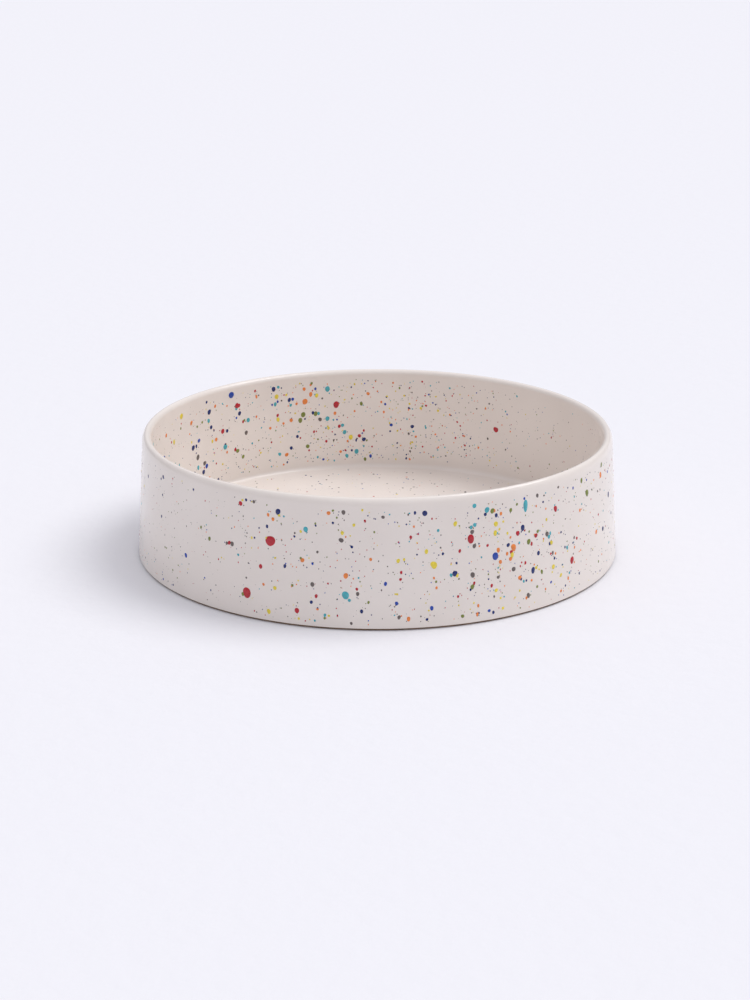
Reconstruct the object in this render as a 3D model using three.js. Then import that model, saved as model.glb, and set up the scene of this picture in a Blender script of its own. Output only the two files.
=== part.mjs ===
// Speckled stoneware serving bowl: one fired clay body with a foot ring, a glaze coat
// over the inside, the lip and the outside, a glazed recess underneath, and enamel drops.
// Millimetres, +Z up, origin on the table at the middle of the foot.
import * as THREE from 'three';

// Driving dimensions
const HEIGHT = 62;
const RIM_RADIUS = 115.4; // outside of the wall where the lip begins
const BASE_RADIUS = 120.5; // outside of the wall at the glaze line
const RIM_WALL = 4.5; // wall over the glaze at the lip
const BASE_WALL = 5.2; // wall over the glaze at the floor
const LIP_OUTSIDE = 4.6; // height of the lip's curve on the outside
const LIP_INSIDE = 2.6; // height of the lip's curve on the inside
const CENTRE_RADIUS = 94; // flat disc in the middle of the floor
const CENTRE_HEIGHT = 4.4; // top of that disc above the table
const FLOOR_RISE = 1.4; // how much the floor climbs from the disc to the wall
const FLOOR_FILLET = 2.6; // fillet between floor and wall
const GLAZE = 0.4; // glaze thickness
const GLAZE_SEAM = 0.05; // clearance between glaze and clay
const FOOT_LINE = 1.1; // height where the glaze ends on the outside
const FOOT_INSET = 1.2; // how far the foot stands back from the wall
const FOOT_WIDTH = 9; // bare ring that the bowl stands on
const RECESS = 1.3; // depth of the hollow inside the foot ring
const BARE_MARGIN = 1.5; // bare clay between the foot ring and the glazed recess

// Enamel drops
const DROP_CLEARANCE = 0.05; // from a drop's back to the glaze facets
const DROP_EDGE = 0.1; // thickness of a drop at its edge
const DROP_RELIEF = 0.3; // how far its crown stands over its edge
const DROP_SIDES = 10;
const SHOULDER_SHARE = 0.65; // ring between edge and crown, as a share of the drop's width
const SHOULDER_LIFT = 0.7; // lift of that ring, as a share of the relief

// Facets
const TURN_SEGMENTS = 48;
const LIP_STEPS = 5;
const FILLET_STEPS = 4;

const COLOURS = {
  red: 0xb02a38,
  orange: 0xe88a52,
  yellow: 0xdcc850,
  olive: 0x87913f,
  teal: 0x57a8b4,
  navy: 0x263060,
  blue: 0x2d4ba0,
};

// Each drop: colour, azimuth in degrees, share of the bowl's height, width, height
const INSIDE_DROPS = [
  ['blue', 134, 0.91, 4.2, 4.0],
  ['yellow', 155, 0.87, 3.4, 3.8],
  ['navy', 120, 0.89, 2.8, 3.2],
  ['teal', 104, 0.84, 3.2, 3.4],
  ['red', 132, 0.8, 3.2, 3.6],
  ['orange', 110.5, 0.74, 3.4, 3.8],
  ['red', 101.5, 0.69, 3.6, 4.2],
  ['olive', 111, 0.62, 3.0, 3.4],
  ['red', 137, 0.6, 3.0, 3.2],
  ['navy', 149, 0.54, 3.2, 3.4],
  ['teal', 136, 0.45, 3.2, 3.6],
  ['red', 55.3, 0.54, 3.4, 3.6],
];
const OUTSIDE_DROPS = [
  ['red', 245.6, 0.63, 5.2, 5.6],
  ['red', 239.8, 0.2, 5.0, 5.4],
  ['teal', 263, 0.27, 3.4, 4.2],
  ['navy', 247.4, 0.86, 2.8, 3.2],
  ['yellow', 282.4, 0.49, 3.4, 3.8],
  ['red', 291, 0.66, 3.6, 4.8],
  ['teal', 305.3, 0.84, 3.2, 6.0],
  ['blue', 297, 0.5, 3.6, 4.0],
  ['orange', 301.8, 0.54, 3.4, 3.6],
  ['olive', 327.5, 0.77, 3.4, 4.0],
  ['orange', 335.6, 0.84, 3.0, 3.4],
  ['red', 320.3, 0.3, 3.4, 4.0],
];

// Radius of the glazed outside wall at a height, on the straight part
const lipStart = HEIGHT - LIP_OUTSIDE;
function outsideRadius(z) {
  return THREE.MathUtils.mapLinear(z, FOOT_LINE, lipStart, BASE_RADIUS, RIM_RADIUS);
}

// Radius of the glazed inside wall at a height, on the straight part
const wallFoot = CENTRE_HEIGHT + FLOOR_RISE + FLOOR_FILLET;
const insideTop = HEIGHT - LIP_INSIDE;
function insideRadius(z) {
  const wall = THREE.MathUtils.mapLinear(z, wallFoot, insideTop, BASE_WALL, RIM_WALL);
  return outsideRadius(z) - wall;
}

// Quarter ellipse as [radius, height] points, without its first point
function quarter(centre, reach, from, to, steps) {
  const points = [];
  for (let i = 1; i <= steps; i += 1) {
    const angle = THREE.MathUtils.lerp(from, to, i / steps);
    const r = centre[0] + reach[0] * Math.cos(angle);
    const z = centre[1] + reach[1] * Math.sin(angle);
    points.push(new THREE.Vector2(r, z));
  }
  return points;
}

// The glazed surface, from the middle of the floor over the lip down to the glaze line
function glazedLine() {
  const filletRadius = insideRadius(wallFoot) - FLOOR_FILLET;
  const crestRadius = insideRadius(insideTop) + (RIM_RADIUS - insideRadius(insideTop)) / 2;
  const insideReach = crestRadius - insideRadius(insideTop);
  const outsideReach = RIM_RADIUS - crestRadius;
  return [
    new THREE.Vector2(0, CENTRE_HEIGHT),
    new THREE.Vector2(CENTRE_RADIUS, CENTRE_HEIGHT),
    new THREE.Vector2(filletRadius, CENTRE_HEIGHT + FLOOR_RISE),
    ...quarter([filletRadius, wallFoot], [FLOOR_FILLET, FLOOR_FILLET], -Math.PI / 2, 0, FILLET_STEPS),
    new THREE.Vector2(insideRadius(insideTop), insideTop),
    ...quarter([crestRadius, insideTop], [insideReach, LIP_INSIDE], Math.PI, Math.PI / 2, LIP_STEPS),
    ...quarter([crestRadius, lipStart], [outsideReach, LIP_OUTSIDE], Math.PI / 2, 0, LIP_STEPS),
    new THREE.Vector2(BASE_RADIUS, FOOT_LINE),
  ];
}

// The same line moved into the wall by a depth
function sunkLine(line, depth) {
  const last = line.length - 1;
  return line.map((point, i) => {
    if (i === 0) return new THREE.Vector2(0, point.y - depth);
    if (i === last) return new THREE.Vector2(point.x - depth, point.y);
    const before = point.clone().sub(line[i - 1]).normalize();
    const after = line[i + 1].clone().sub(point).normalize();
    const along = before.add(after).normalize();
    return new THREE.Vector2(point.x + along.y * depth, point.y - along.x * depth);
  });
}

function material(colour, roughness) {
  return new THREE.MeshStandardMaterial({ color: colour, roughness, metalness: 0 });
}

// A profile revolved about the bowl's axis, turned so that +Z is up
function revolved(name, outline, finish) {
  const geometry = new THREE.LatheGeometry(outline, TURN_SEGMENTS);
  geometry.rotateX(Math.PI / 2);
  const mesh = new THREE.Mesh(geometry, finish);
  mesh.name = name;
  return mesh;
}

const glazed = glazedLine();
const coatBack = sunkLine(glazed, GLAZE);
const clay = sunkLine(glazed, GLAZE + GLAZE_SEAM);
const footOutside = BASE_RADIUS - FOOT_INSET;
const footInside = footOutside - FOOT_WIDTH;

// Fired clay: recess, foot ring, then the walls and floor under the glaze
function clayBody() {
  const outline = [
    new THREE.Vector2(0, RECESS),
    new THREE.Vector2(footInside - BARE_MARGIN, RECESS),
    new THREE.Vector2(footInside, 0),
    new THREE.Vector2(footOutside, 0),
    new THREE.Vector2(footOutside, FOOT_LINE),
    ...clay.slice().reverse(),
  ];
  return revolved('clay_body', outline, material(0x8a6a50, 0.85));
}

// One continuous coat over floor, inside, lip and outside
function glazeCoat() {
  return revolved('glaze_coat', [...coatBack, ...glazed.slice().reverse()], material(0xe6e0da, 0.22));
}

// Glaze on the underside, inside the foot ring
function undersideGlaze() {
  const edge = footInside - 2 * BARE_MARGIN;
  const face = RECESS - GLAZE_SEAM;
  const outline = [
    new THREE.Vector2(0, face - GLAZE),
    new THREE.Vector2(edge, face - GLAZE),
    new THREE.Vector2(edge, face),
    new THREE.Vector2(0, face),
  ];
  return revolved('underside_glaze', outline, material(0xe0dad2, 0.3));
}

// A low round drop of enamel whose back follows the wall
function enamelDrop(name, inside, [colour, azimuth, share, width, height]) {
  const middle = share * HEIGHT;
  const facetDip = Math.cos(Math.PI / TURN_SEGMENTS);
  const wallRadius = inside ? (z) => insideRadius(z) * facetDip : outsideRadius;
  const away = inside ? -1 : 1;
  const start = THREE.MathUtils.degToRad(azimuth);
  const positions = [];

  function place(angle, size, lift) {
    const z = middle + (size * height * Math.sin(angle)) / 2;
    const turn = start + (size * width * Math.cos(angle)) / 2 / wallRadius(middle);
    const r = wallRadius(z) + away * (DROP_CLEARANCE + lift);
    positions.push(r * Math.cos(turn), r * Math.sin(turn), z);
  }

  function ring(size, lift) {
    for (let i = 0; i < DROP_SIDES; i += 1) {
      place((2 * Math.PI * i) / DROP_SIDES, size, lift);
    }
  }

  place(0, 0, 0);
  ring(1, 0);
  ring(1, DROP_EDGE);
  ring(SHOULDER_SHARE, DROP_EDGE + SHOULDER_LIFT * DROP_RELIEF);
  place(0, 0, DROP_EDGE + DROP_RELIEF);

  const index = [];
  function triangle(a, b, c) {
    index.push(...(inside ? [a, c, b] : [a, b, c]));
  }
  const crown = 1 + 3 * DROP_SIDES;
  for (let i = 0; i < DROP_SIDES; i += 1) {
    const next = (i + 1) % DROP_SIDES;
    triangle(0, 1 + next, 1 + i);
    for (let band = 0; band < 2; band += 1) {
      const low = 1 + band * DROP_SIDES;
      const high = low + DROP_SIDES;
      triangle(low + i, low + next, high + next);
      triangle(low + i, high + next, high + i);
    }
    triangle(crown - DROP_SIDES + i, crown - DROP_SIDES + next, crown);
  }

  const geometry = new THREE.BufferGeometry();
  geometry.setAttribute('position', new THREE.Float32BufferAttribute(positions, 3));
  geometry.setIndex(index);
  geometry.computeVertexNormals();
  const mesh = new THREE.Mesh(geometry, material(COLOURS[colour], 0.25));
  mesh.name = name;
  return mesh;
}

// Every drop on one wall, numbered by colour
function enamelDrops(wall, drops) {
  const group = new THREE.Group();
  const count = {};
  for (const drop of drops) {
    const colour = drop[0];
    count[colour] = (count[colour] ?? 0) + 1;
    group.add(enamelDrop(`${colour}_drop_${wall}_${count[colour]}`, wall === 'inside', drop));
  }
  return group;
}

const bowl = new THREE.Group();
bowl.name = 'speckled_bowl';
bowl.add(clayBody());
bowl.add(glazeCoat());
bowl.add(undersideGlaze());
bowl.add(enamelDrops('inside', INSIDE_DROPS));
bowl.add(enamelDrops('outside', OUTSIDE_DROPS));

export default bowl;
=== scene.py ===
import math
import random

import bpy
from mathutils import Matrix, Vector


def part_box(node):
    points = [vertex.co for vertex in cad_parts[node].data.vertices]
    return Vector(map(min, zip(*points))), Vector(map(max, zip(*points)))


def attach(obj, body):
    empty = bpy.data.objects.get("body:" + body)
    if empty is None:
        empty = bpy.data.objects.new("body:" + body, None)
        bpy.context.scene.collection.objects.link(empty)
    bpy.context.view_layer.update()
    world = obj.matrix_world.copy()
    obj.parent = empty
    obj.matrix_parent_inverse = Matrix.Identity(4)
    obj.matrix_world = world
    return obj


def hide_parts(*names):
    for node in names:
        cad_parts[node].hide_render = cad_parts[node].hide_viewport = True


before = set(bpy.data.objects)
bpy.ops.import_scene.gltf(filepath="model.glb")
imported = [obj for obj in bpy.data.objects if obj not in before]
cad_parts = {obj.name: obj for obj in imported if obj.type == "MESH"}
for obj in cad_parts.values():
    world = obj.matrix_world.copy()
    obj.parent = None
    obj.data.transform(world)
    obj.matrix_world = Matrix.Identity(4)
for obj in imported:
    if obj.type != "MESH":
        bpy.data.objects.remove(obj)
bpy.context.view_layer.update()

BODY = "root"
MM = 0.001
rng = random.Random(7)

# Bowl, in millimetres: the CAD model's sizes, but with the wall more upright at the lip
HEIGHT = 62.0
RIM_RADIUS = 117.2  # outside of the wall where the lip begins
BASE_RADIUS = 120.5  # outside of the wall at the glaze line
RIM_WALL = 4.5
BASE_WALL = 5.2
LIP_OUTSIDE = 4.6  # height of the lip's curve on the outside
LIP_INSIDE = 2.6  # height of the lip's curve on the inside
CENTRE_RADIUS = 94.0  # flat disc in the middle of the floor
CENTRE_HEIGHT = 4.4
FLOOR_RISE = 1.4  # from the disc's edge to the fillet
FLOOR_FILLET = 2.6
GLAZE = 0.4
GLAZE_SEAM = 0.05  # clearance between glaze and clay
FOOT_LINE = 1.1  # height where the glaze ends on the outside
FOOT_INSET = 1.2
FOOT_WIDTH = 9.0
RECESS = 1.3
BARE_MARGIN = 1.5

TURN_SEGMENTS = 256
LIP_STEPS = 14
FILLET_STEPS = 10
SHARP_EDGE = 40  # degrees between faces

QUARTER_TURN = math.pi / 2
lip_start = HEIGHT - LIP_OUTSIDE
inside_top = HEIGHT - LIP_INSIDE
wall_foot = CENTRE_HEIGHT + FLOOR_RISE + FLOOR_FILLET


def blend(t, low, high):
    return low + (high - low) * t


def outside_radius(z):
    return blend((z - FOOT_LINE) / (lip_start - FOOT_LINE), BASE_RADIUS, RIM_RADIUS)


def inside_radius(z):
    wall = blend((z - wall_foot) / (inside_top - wall_foot), BASE_WALL, RIM_WALL)
    return outside_radius(z) - wall


fillet_radius = inside_radius(wall_foot) - FLOOR_FILLET


def floor_height(r):
    share = max(0.0, (r - CENTRE_RADIUS) / (fillet_radius - CENTRE_RADIUS))
    return CENTRE_HEIGHT + FLOOR_RISE * share


# Meshes
def mesh_piece(name, points, faces, material):
    mesh = bpy.data.meshes.new(name)
    mesh.from_pydata([[c * MM for c in p] for p in points], [], faces)
    mesh.validate()
    mesh.shade_smooth()
    mesh.set_sharp_from_angle(angle=math.radians(SHARP_EDGE))
    mesh.materials.append(material)
    piece = bpy.data.objects.new(name, mesh)
    bpy.context.collection.objects.link(piece)
    return piece


def revolve(name, outline, material):
    """A closed outline of (radius, height) points turned about the axis; its ends lie on the axis."""
    points = [(0, 0, outline[0][1]), (0, 0, outline[-1][1])]
    poles = len(points)
    ring_points = outline[1:-1]
    for r, z in ring_points:
        for i in range(TURN_SEGMENTS):
            angle = 2 * math.pi * i / TURN_SEGMENTS
            points.append((r * math.cos(angle), r * math.sin(angle), z))
    faces = []
    last = poles + (len(ring_points) - 1) * TURN_SEGMENTS
    for i in range(TURN_SEGMENTS):
        n = (i + 1) % TURN_SEGMENTS
        faces.append((0, poles + n, poles + i))
        for k in range(len(ring_points) - 1):
            a = poles + k * TURN_SEGMENTS
            b = a + TURN_SEGMENTS
            faces.append((a + i, a + n, b + n, b + i))
        faces.append((1, last + i, last + n))
    return mesh_piece(name, points, faces, material)


def arc(centre, reach, start, end, steps):
    """Points of an ellipse's arc, without the first one."""
    points = []
    for i in range(1, steps + 1):
        angle = blend(i / steps, start, end)
        r = centre[0] + reach[0] * math.cos(angle)
        z = centre[1] + reach[1] * math.sin(angle)
        points.append((r, z))
    return points


def glazed_line():
    """The glazed surface, from the middle of the floor over the lip down to the glaze line."""
    inner = inside_radius(inside_top)
    crest = (inner + RIM_RADIUS) / 2
    fillet_reach = (FLOOR_FILLET, FLOOR_FILLET)
    inside_reach = (crest - inner, LIP_INSIDE)
    outside_reach = (RIM_RADIUS - crest, LIP_OUTSIDE)
    line = [(0, CENTRE_HEIGHT), (CENTRE_RADIUS, CENTRE_HEIGHT)]
    line.append((fillet_radius, floor_height(fillet_radius)))
    line += arc((fillet_radius, wall_foot), fillet_reach, -QUARTER_TURN, 0, FILLET_STEPS)
    line.append((inner, inside_top))
    line += arc((crest, inside_top), inside_reach, math.pi, QUARTER_TURN, LIP_STEPS)
    line += arc((crest, lip_start), outside_reach, QUARTER_TURN, 0, LIP_STEPS)
    line.append((BASE_RADIUS, FOOT_LINE))
    return line


def sunk_line(line, depth):
    """The line moved into the wall by a depth."""
    out = [(0, line[0][1] - depth)]
    for before, here, after in zip(line, line[1:], line[2:]):
        along = [0.0, 0.0]
        for a, b in ((before, here), (here, after)):
            length = math.dist(a, b)
            along[0] += (b[0] - a[0]) / length
            along[1] += (b[1] - a[1]) / length
        size = math.hypot(*along)
        out.append((here[0] + along[1] / size * depth, here[1] - along[0] / size * depth))
    out.append((line[-1][0] - depth, line[-1][1]))
    return out


# Materials
TONE_LOW = 0.35  # noise below this has the dark tone
TONE_HIGH = 0.65  # noise above this has the light tone
TONE_DETAIL = 3.0
RELIEF_DETAIL = 2.0


def shader(name, colour, roughness):
    material = bpy.data.materials.new(name)
    material.use_nodes = True
    principled = material.node_tree.nodes["Principled BSDF"]
    principled.inputs["Base Color"].default_value = (*colour, 1)
    principled.inputs["Roughness"].default_value = roughness
    return material, principled


def noise(material, scale, detail):
    nodes = material.node_tree.nodes
    place = nodes.new("ShaderNodeTexCoord")
    texture = nodes.new("ShaderNodeTexNoise")
    texture.inputs["Scale"].default_value = scale
    texture.inputs["Detail"].default_value = detail
    material.node_tree.links.new(place.outputs["Object"], texture.inputs["Vector"])
    return texture.outputs["Fac"]


def two_tones(material, principled, source, dark, light):
    node = material.node_tree.nodes.new("ShaderNodeValToRGB")
    for element, place, colour in zip(node.color_ramp.elements, (TONE_LOW, TONE_HIGH), (dark, light)):
        element.position = place
        element.color = (*colour, 1)
    material.node_tree.links.new(source, node.inputs["Fac"])
    material.node_tree.links.new(node.outputs["Color"], principled.inputs["Base Color"])


def bump(material, principled, source, strength, distance):
    node = material.node_tree.nodes.new("ShaderNodeBump")
    node.inputs["Strength"].default_value = strength
    node.inputs["Distance"].default_value = distance
    material.node_tree.links.new(source, node.inputs["Height"])
    material.node_tree.links.new(node.outputs["Normal"], principled.inputs["Normal"])


def varied(name, light, dark, roughness, tone_scale, relief_scale, relief_strength, relief_height):
    """A surface whose colour drifts between two tones, with a fine relief; its height is in metres."""
    material, principled = shader(name, light, roughness)
    two_tones(material, principled, noise(material, tone_scale, TONE_DETAIL), dark, light)
    relief = noise(material, relief_scale, RELIEF_DETAIL)
    bump(material, principled, relief, relief_strength, relief_height)
    return material


def cream_glaze():
    return varied(
        "cream_glaze",
        light=(0.86, 0.785, 0.73),
        dark=(0.835, 0.757, 0.70),
        roughness=0.17,
        tone_scale=28,
        relief_scale=220,
        relief_strength=0.12,
        relief_height=0.0004,
    )


def bare_clay():
    return varied(
        "bare_clay",
        light=(0.33, 0.22, 0.15),
        dark=(0.22, 0.14, 0.09),
        roughness=0.9,
        tone_scale=160,
        relief_scale=900,
        relief_strength=0.5,
        relief_height=0.0003,
    )


ENAMELS = {
    "red": (0.52, 0.015, 0.03),
    "orange": (0.92, 0.27, 0.06),
    "yellow": (0.88, 0.70, 0.07),
    "olive": (0.22, 0.26, 0.05),
    "teal": (0.08, 0.45, 0.52),
    "navy": (0.015, 0.03, 0.16),
    "blue": (0.02, 0.07, 0.42),
    "iron": (0.16, 0.13, 0.12),
}
ENAMEL_SHADE = 0.8  # the dark tone, as a share of the light one
IRON_SLOT = "navy"  # iron specks have no slot of their own in the record


def enamel(name):
    colour = ENAMELS[name]
    return varied(
        name + "_enamel",
        light=colour,
        dark=tuple(c * ENAMEL_SHADE for c in colour),
        roughness=0.22,
        tone_scale=700,
        relief_scale=1500,
        relief_strength=0.1,
        relief_height=0.0002,
    )


# Ceramic pieces
foot_outside = BASE_RADIUS - FOOT_INSET
foot_inside = foot_outside - FOOT_WIDTH


def dress(piece, slot, *nodes):
    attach(piece, BODY)
    if nodes:
        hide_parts(*nodes)


def add_coat(glazed, glaze):
    outline = sunk_line(glazed, GLAZE) + glazed[::-1]
    dress(revolve("bowl_glaze", outline, glaze), "glaze", "glaze_coat")


def add_stoneware(glazed, clay):
    outline = [(0, RECESS), (foot_inside - BARE_MARGIN, RECESS)]
    outline += [(foot_inside, 0), (foot_outside, 0), (foot_outside, FOOT_LINE)]
    outline += sunk_line(glazed, GLAZE + GLAZE_SEAM)[::-1]
    dress(revolve("stoneware_body", outline, clay), "clay", "clay_body")


def add_recess_glaze(glaze):
    edge = foot_inside - 2 * BARE_MARGIN
    face = RECESS - GLAZE_SEAM
    outline = [(0, face - GLAZE), (edge, face - GLAZE), (edge, face), (0, face)]
    dress(revolve("foot_recess_glaze", outline, glaze), "underside", "underside_glaze")


# Enamel drops and specks, in millimetres: each is a low dome with an uneven outline
SHOULDER = 0.72  # ring between edge and crown, as a share of size and of lift
EDGE_SUNK = -0.04  # the edge lies in the glaze, so no gap shows
UNEVEN_LEAST = 0.02
UNEVEN_MOST = 0.12


class Splatter:
    """All domes of one colour."""

    def __init__(self):
        self.points = []
        self.faces = []

    def add(self, place, width, height, lift, sides):
        start = len(self.points)
        phase = rng.uniform(0, 2 * math.pi)
        uneven = rng.uniform(UNEVEN_LEAST, UNEVEN_MOST)
        self.points.append(place(0, 0, lift))
        for size, level in ((SHOULDER, SHOULDER * lift), (1.0, EDGE_SUNK)):
            for i in range(sides):
                angle = 2 * math.pi * i / sides
                wave = uneven * math.sin(2 * angle + phase)
                edge = size * (1 + wave + uneven / 2 * math.sin(3 * angle))
                u = width / 2 * edge * math.cos(angle)
                v = height / 2 * edge * math.sin(angle)
                self.points.append(place(u, v, level))
        inner = start + 1
        outer = inner + sides
        for i in range(sides):
            n = (i + 1) % sides
            self.faces.append((start, inner + i, inner + n))
            self.faces.append((inner + i, outer + i, outer + n, inner + n))


def on_wall(azimuth, z, inside):
    """A function from (along, up, out) in millimetres to a point of the wall."""
    start = math.radians(azimuth)
    radius = inside_radius if inside else outside_radius
    away = -1 if inside else 1

    def place(u, v, lift):
        turn = start + away * u / radius(z)
        r = radius(z + v) + away * lift
        return (r * math.cos(turn), r * math.sin(turn), z + v)

    return place


def on_floor(azimuth, r):
    """The same for a point of the floor."""
    turn = math.radians(azimuth)
    x = r * math.cos(turn)
    y = r * math.sin(turn)

    def place(u, v, lift):
        return (x + u, y + v, floor_height(math.hypot(x + u, y + v)) + lift)

    return place


splatters = {name: Splatter() for name in ENAMELS}
replaced = {name: [] for name in ENAMELS}

NODE_DEPTH = 0.5  # how deep a drop's node is, which widens its box
MAIN_LIFT = 0.3
MAIN_SIDES = 20


def main_drops():
    """The large drops have the azimuth, height and size of their CAD nodes."""
    for node in sorted(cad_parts):
        if "_drop_" not in node:
            continue
        colour = node.split("_")[0]
        low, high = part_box(node)
        middle = (low + high) / 2 / MM
        span = (high - low) / MM
        azimuth = math.atan2(middle.y, middle.x)
        along = abs(math.sin(azimuth)) * span.x + abs(math.cos(azimuth)) * span.y
        width = along - 2 * NODE_DEPTH * abs(math.sin(azimuth) * math.cos(azimuth))
        place = on_wall(math.degrees(azimuth), middle.z, "inside" in node)
        splatters[colour].add(place, width, span.z, MAIN_LIFT, MAIN_SIDES)
        replaced[colour].append(node)


# Where the splatter is dense: wall, centre azimuth, spread, count, largest drop
CLUSTERS = [
    ("inside", 132, 20, 260, 2.7),
    ("inside", 105, 7, 130, 2.6),
    ("inside", 78, 14, 330, 1.4),
    ("inside", 45, 16, 60, 1.1),
    ("inside", 250, 70, 90, 1.4),
    ("outside", 247, 13, 130, 2.4),
    ("outside", 215, 14, 50, 1.4),
    ("outside", 280, 16, 210, 2.0),
    ("outside", 306, 12, 250, 2.6),
    ("outside", 335, 10, 80, 1.6),
    ("outside", 60, 70, 160, 1.6),
    ("outside", 140, 40, 120, 1.8),
]
DROP_COLOURS = ["red", "orange", "yellow", "olive", "teal", "navy", "blue", "iron"]
DROP_SHARES = [4, 4, 4, 3, 4, 4, 2, 3]
DROP_SMALLEST = 0.5
DROP_TALLEST = 1.4  # height over width
DROP_LIFT = 0.04
DROP_LIFT_SHARE = 0.07  # added lift, as a share of the drop's size
DROP_SIDES = 12

SPECKS = 2400
SPECKS_INSIDE = 0.45  # share of the wall's specks
SPECK_COLOURS = ["iron", "navy", "red", "olive"]
SPECK_SHARES = [6, 2, 1, 1]
SPECK_SMALLEST = 0.25
SPECK_LARGEST = 0.8
SPECK_TALLEST = 1.3
SPECK_LIFT = 0.05
SPECK_SIDES = 8

FLOOR_SPECKS = 1100
FLOOR_SHARES = [1, 1, 1, 1, 1, 2, 1, 8]
FLOOR_SMALLEST = 0.3
FLOOR_LARGEST = 1.5
FLOOR_LIFT = 0.06
FLOOR_SIDES = 10
FLOOR_REACH = 0.985  # share of the floor's radius that has specks

INSIDE_LOW = 10.0
OUTSIDE_LOW = 3.0
WALL_HIGH = 57.0


def scatter_clusters():
    for wall, centre, spread, count, largest in CLUSTERS:
        inside = wall == "inside"
        low = INSIDE_LOW if inside else OUTSIDE_LOW
        for _ in range(count):
            azimuth = rng.gauss(centre, spread)
            z = rng.uniform(low, WALL_HIGH)
            size = blend(rng.random() ** 3, DROP_SMALLEST, largest)
            colour = rng.choices(DROP_COLOURS, DROP_SHARES)[0]
            lift = DROP_LIFT + DROP_LIFT_SHARE * size
            tall = size * rng.uniform(1, DROP_TALLEST)
            splatters[colour].add(on_wall(azimuth, z, inside), size, tall, lift, DROP_SIDES)


def scatter_wall_specks():
    for _ in range(SPECKS):
        inside = rng.random() < SPECKS_INSIDE
        azimuth = rng.uniform(0, 360)
        z = rng.uniform(INSIDE_LOW if inside else OUTSIDE_LOW, WALL_HIGH)
        size = blend(rng.random() ** 2, SPECK_SMALLEST, SPECK_LARGEST)
        colour = rng.choices(SPECK_COLOURS, SPECK_SHARES)[0]
        tall = size * rng.uniform(1, SPECK_TALLEST)
        splatters[colour].add(on_wall(azimuth, z, inside), size, tall, SPECK_LIFT, SPECK_SIDES)


def scatter_floor_specks():
    for _ in range(FLOOR_SPECKS):
        r = fillet_radius * math.sqrt(rng.random()) * FLOOR_REACH
        size = blend(rng.random() ** 3, FLOOR_SMALLEST, FLOOR_LARGEST)
        colour = rng.choices(DROP_COLOURS, FLOOR_SHARES)[0]
        place = on_floor(rng.uniform(0, 360), r)
        splatters[colour].add(place, size, size, FLOOR_LIFT, FLOOR_SIDES)


def add_splatter():
    main_drops()
    scatter_clusters()
    scatter_wall_specks()
    scatter_floor_specks()
    for colour, splatter in splatters.items():
        piece = mesh_piece(colour + "_splatter", splatter.points, splatter.faces, enamel(colour))
        slot = IRON_SLOT if colour == "iron" else colour
        dress(piece, "enamel_" + slot, *replaced[colour])


# Stage: one pale floor, lit by a sky that brightens upwards and a soft sun from the right
SKY = (0.93, 0.94, 1.0)
SKY_LOW = 0.30  # strength at the horizon
SKY_RISE = 0.72  # added at the zenith
SUN_STRENGTH = 1.25
SUN_AZIMUTH = 12
SUN_ELEVATION = 58
SUN_SIZE = 35
BACKGROUND = (0.89, 0.885, 0.935)
FLOOR_COLOUR = (0.85, 0.838, 0.868)
FLOOR_ROUGHNESS = 0.95
FLOOR_SPECULAR = 0.1
FLOOR_HALF = 12000
GRAIN_SCALE = 90
GRAIN_DETAIL = 4.0
GRAIN_STRENGTH = 0.25
GRAIN_HEIGHT = 0.002


def add_floor():
    material, principled = shader("pale_paper", FLOOR_COLOUR, FLOOR_ROUGHNESS)
    principled.inputs["Specular IOR Level"].default_value = FLOOR_SPECULAR
    grain = noise(material, GRAIN_SCALE, GRAIN_DETAIL)
    bump(material, principled, grain, GRAIN_STRENGTH, GRAIN_HEIGHT)
    half = FLOOR_HALF
    corners = [(-half, -half, 0), (half, -half, 0), (half, half, 0), (-half, half, 0)]
    floor = mesh_piece("floor", corners, [(0, 1, 2, 3)], material)


def add_sun():
    sun = bpy.data.lights.new("sun", "SUN")
    sun.energy = SUN_STRENGTH
    sun.angle = math.radians(SUN_SIZE)
    lamp = bpy.data.objects.new("sun", sun)
    lamp.rotation_euler = (0, math.radians(90 - SUN_ELEVATION), math.radians(SUN_AZIMUTH))
    bpy.context.collection.objects.link(lamp)


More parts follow.
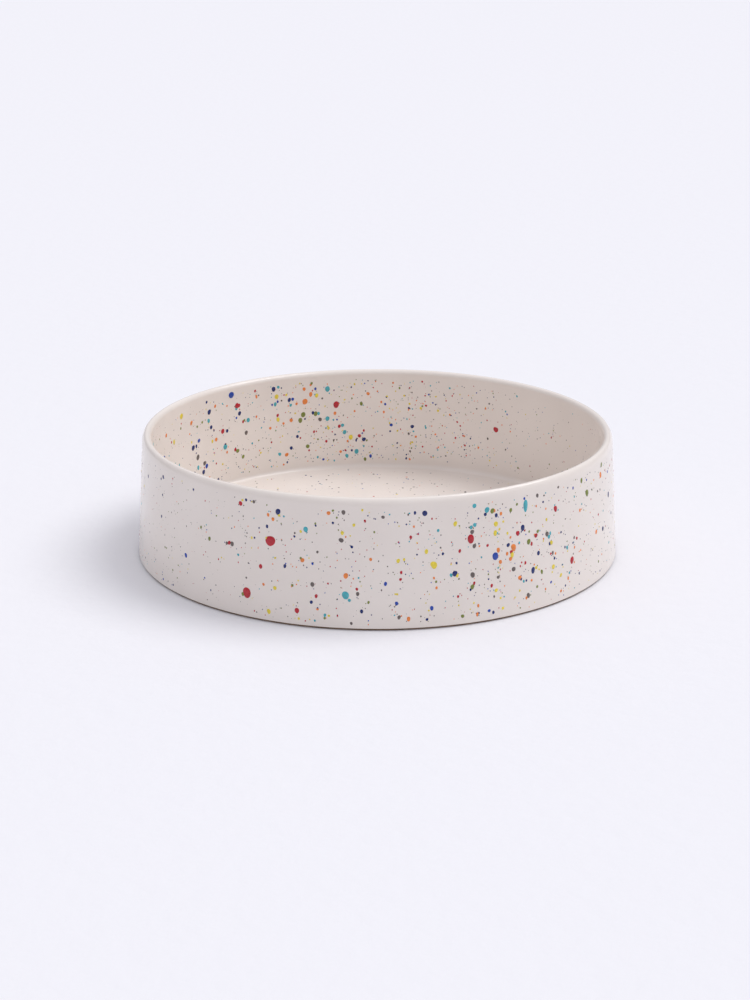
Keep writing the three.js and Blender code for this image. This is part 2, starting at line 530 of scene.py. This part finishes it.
def add_sky():
    """The sky lights the bowl; the camera sees the plain background colour instead."""
    world = bpy.data.worlds.new("studio")
    bpy.context.scene.world = world
    world.use_nodes = True
    nodes = world.node_tree.nodes
    links = world.node_tree.links
    light = nodes["Background"]
    light.inputs["Color"].default_value = (*SKY, 1)
    direction = nodes.new("ShaderNodeTexCoord")
    split = nodes.new("ShaderNodeSeparateXYZ")
    strength = nodes.new("ShaderNodeMapRange")
    strength.inputs["To Min"].default_value = SKY_LOW
    strength.inputs["To Max"].default_value = SKY_LOW + SKY_RISE
    links.new(direction.outputs["Generated"], split.inputs["Vector"])
    links.new(split.outputs["Z"], strength.inputs["Value"])
    links.new(strength.outputs["Result"], light.inputs["Strength"])
    seen = nodes.new("ShaderNodeBackground")
    seen.inputs["Color"].default_value = (*BACKGROUND, 1)
    seen.inputs["Strength"].default_value = 1.0
    path = nodes.new("ShaderNodeLightPath")
    mix = nodes.new("ShaderNodeMixShader")
    links.new(path.outputs["Is Camera Ray"], mix.inputs["Fac"])
    links.new(light.outputs["Background"], mix.inputs[1])
    links.new(seen.outputs["Background"], mix.inputs[2])
    links.new(mix.outputs["Shader"], nodes["World Output"].inputs["Surface"])


# Camera, in millimetres: it stands a little left, so the bowl's axis is 2.3 px right of the middle
CAMERA_BACK = 1029.4
CAMERA_UP = 359.0
CAMERA_LEFT = 1.16
CAMERA_PITCH = 0.315  # radians down
FOCAL_PX = 2141.5
FRAME_HEIGHT_PX = 1000
SENSOR = 36.0
CLIP_END = 100  # metres


def add_camera():
    data = bpy.data.cameras.new("camera")
    data.sensor_width = SENSOR
    data.lens = FOCAL_PX / FRAME_HEIGHT_PX * SENSOR
    data.clip_end = CLIP_END
    camera = bpy.data.objects.new("camera", data)
    camera.location = (-CAMERA_LEFT * MM, -CAMERA_BACK * MM, CAMERA_UP * MM)
    camera.rotation_euler = (QUARTER_TURN - CAMERA_PITCH, 0, 0)
    bpy.context.collection.objects.link(camera)
    bpy.context.scene.camera = camera


glazed_surface = glazed_line()
glaze_finish = cream_glaze()
add_coat(glazed_surface, glaze_finish)
add_stoneware(glazed_surface, bare_clay())
add_recess_glaze(glaze_finish)
add_splatter()
add_floor()
add_sun()
add_sky()
add_camera()
bpy.context.scene.view_settings.view_transform = "Standard"
